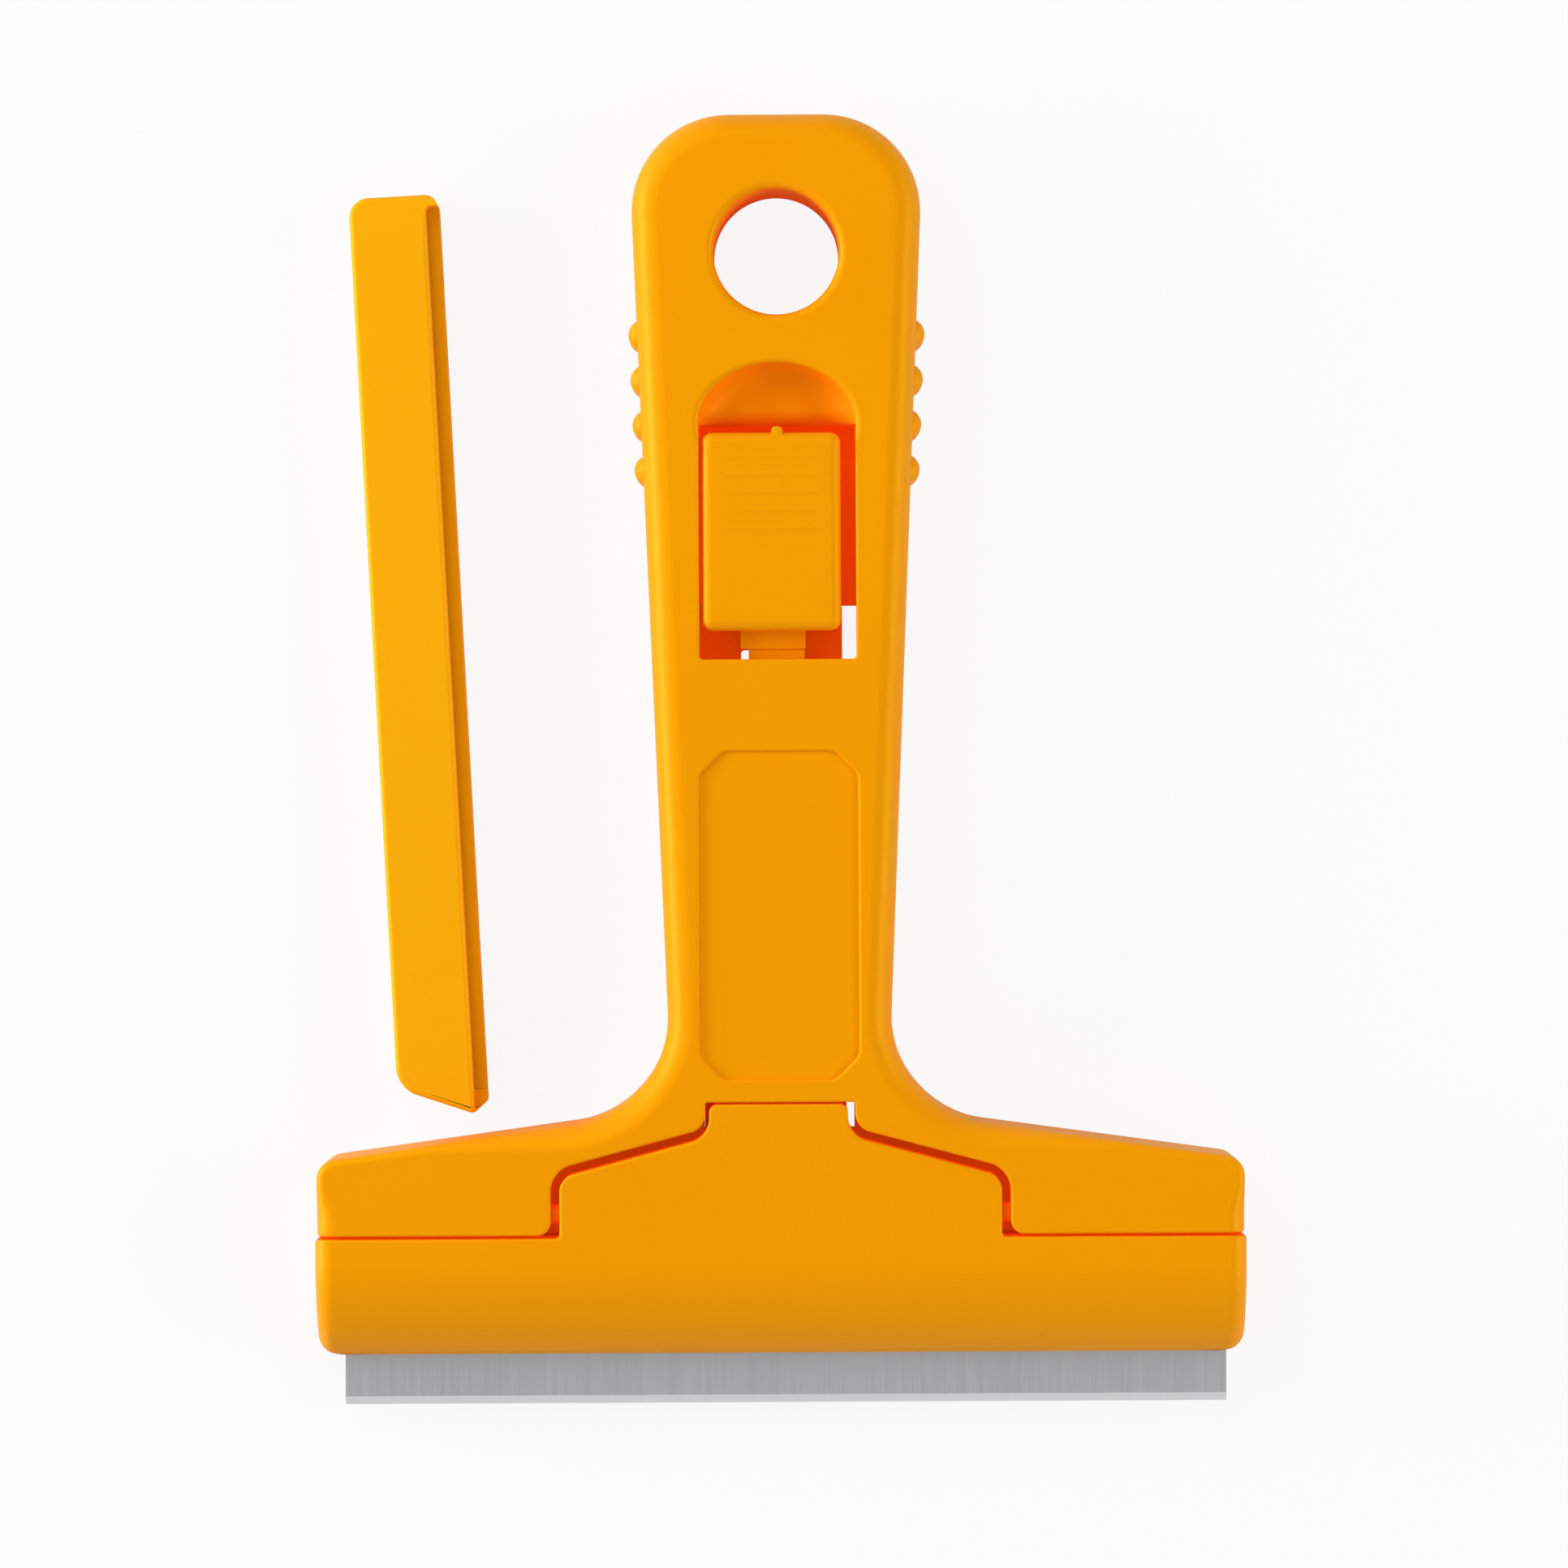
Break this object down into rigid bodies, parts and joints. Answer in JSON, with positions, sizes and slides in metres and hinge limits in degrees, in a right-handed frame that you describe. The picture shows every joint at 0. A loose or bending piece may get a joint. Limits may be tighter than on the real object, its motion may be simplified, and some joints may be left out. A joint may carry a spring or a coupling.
{
  "type": "glass scraper",
  "caption": "T-handled glass scraper with a thumb slider that locks a clamp jaw over a wide steel blade, and a loose channel guard for the cutting edge.",
  "frame": {"origin": "under the middle of the tool, on the surface that its back lies on", "axes": "+Y along the handle towards the hang hole, with the cutting edge at the -Y end; +Z out of the front face; +X to the right seen from the front"},
  "size_m": [0.1046, 0.1456, 0.0122],
  "materials": {
    "amber_plastic": "satin moulded amber plastic",
    "guard_plastic": "satin moulded amber plastic, a little lighter",
    "blade_steel": "cold rolled strip, brushed square to the ground cutting edge"
  },
  "bodies": {
    "handle": {"handle_body": "amber_plastic"},
    "slider": {"lock_slider": "amber_plastic"},
    "jaw": {"clamp_jaw": "amber_plastic"},
    "blade": {"blade": "blade_steel"},
    "guard": {"blade_guard": "guard_plastic"}
  },
  "joints": [
    {"name": "lock_slide", "type": "slide", "parent": "handle", "child": "slider", "axis": [0, -1, 0], "range_m": [0, 0.0029]},
    {"name": "jaw_rock", "type": "hinge", "parent": "handle", "child": "jaw", "pos_m": [0, -0.05075, 0.0096], "axis": [-1, 0, 0], "range_deg": [0, 5]},
    {"name": "blade_draw", "type": "slide", "parent": "handle", "child": "blade", "axis": [0, -1, 0], "range_m": [0, 0.014]},
    {"name": "guard_lift", "type": "slide", "parent": "handle", "child": "guard", "axis": [0, 0, 1], "range_m": [0, 0.03]}
  ],
  "couplings": [
    {"joint": "jaw_rock", "follows": "lock_slide", "rad_per_m": 30.09}
  ]
}
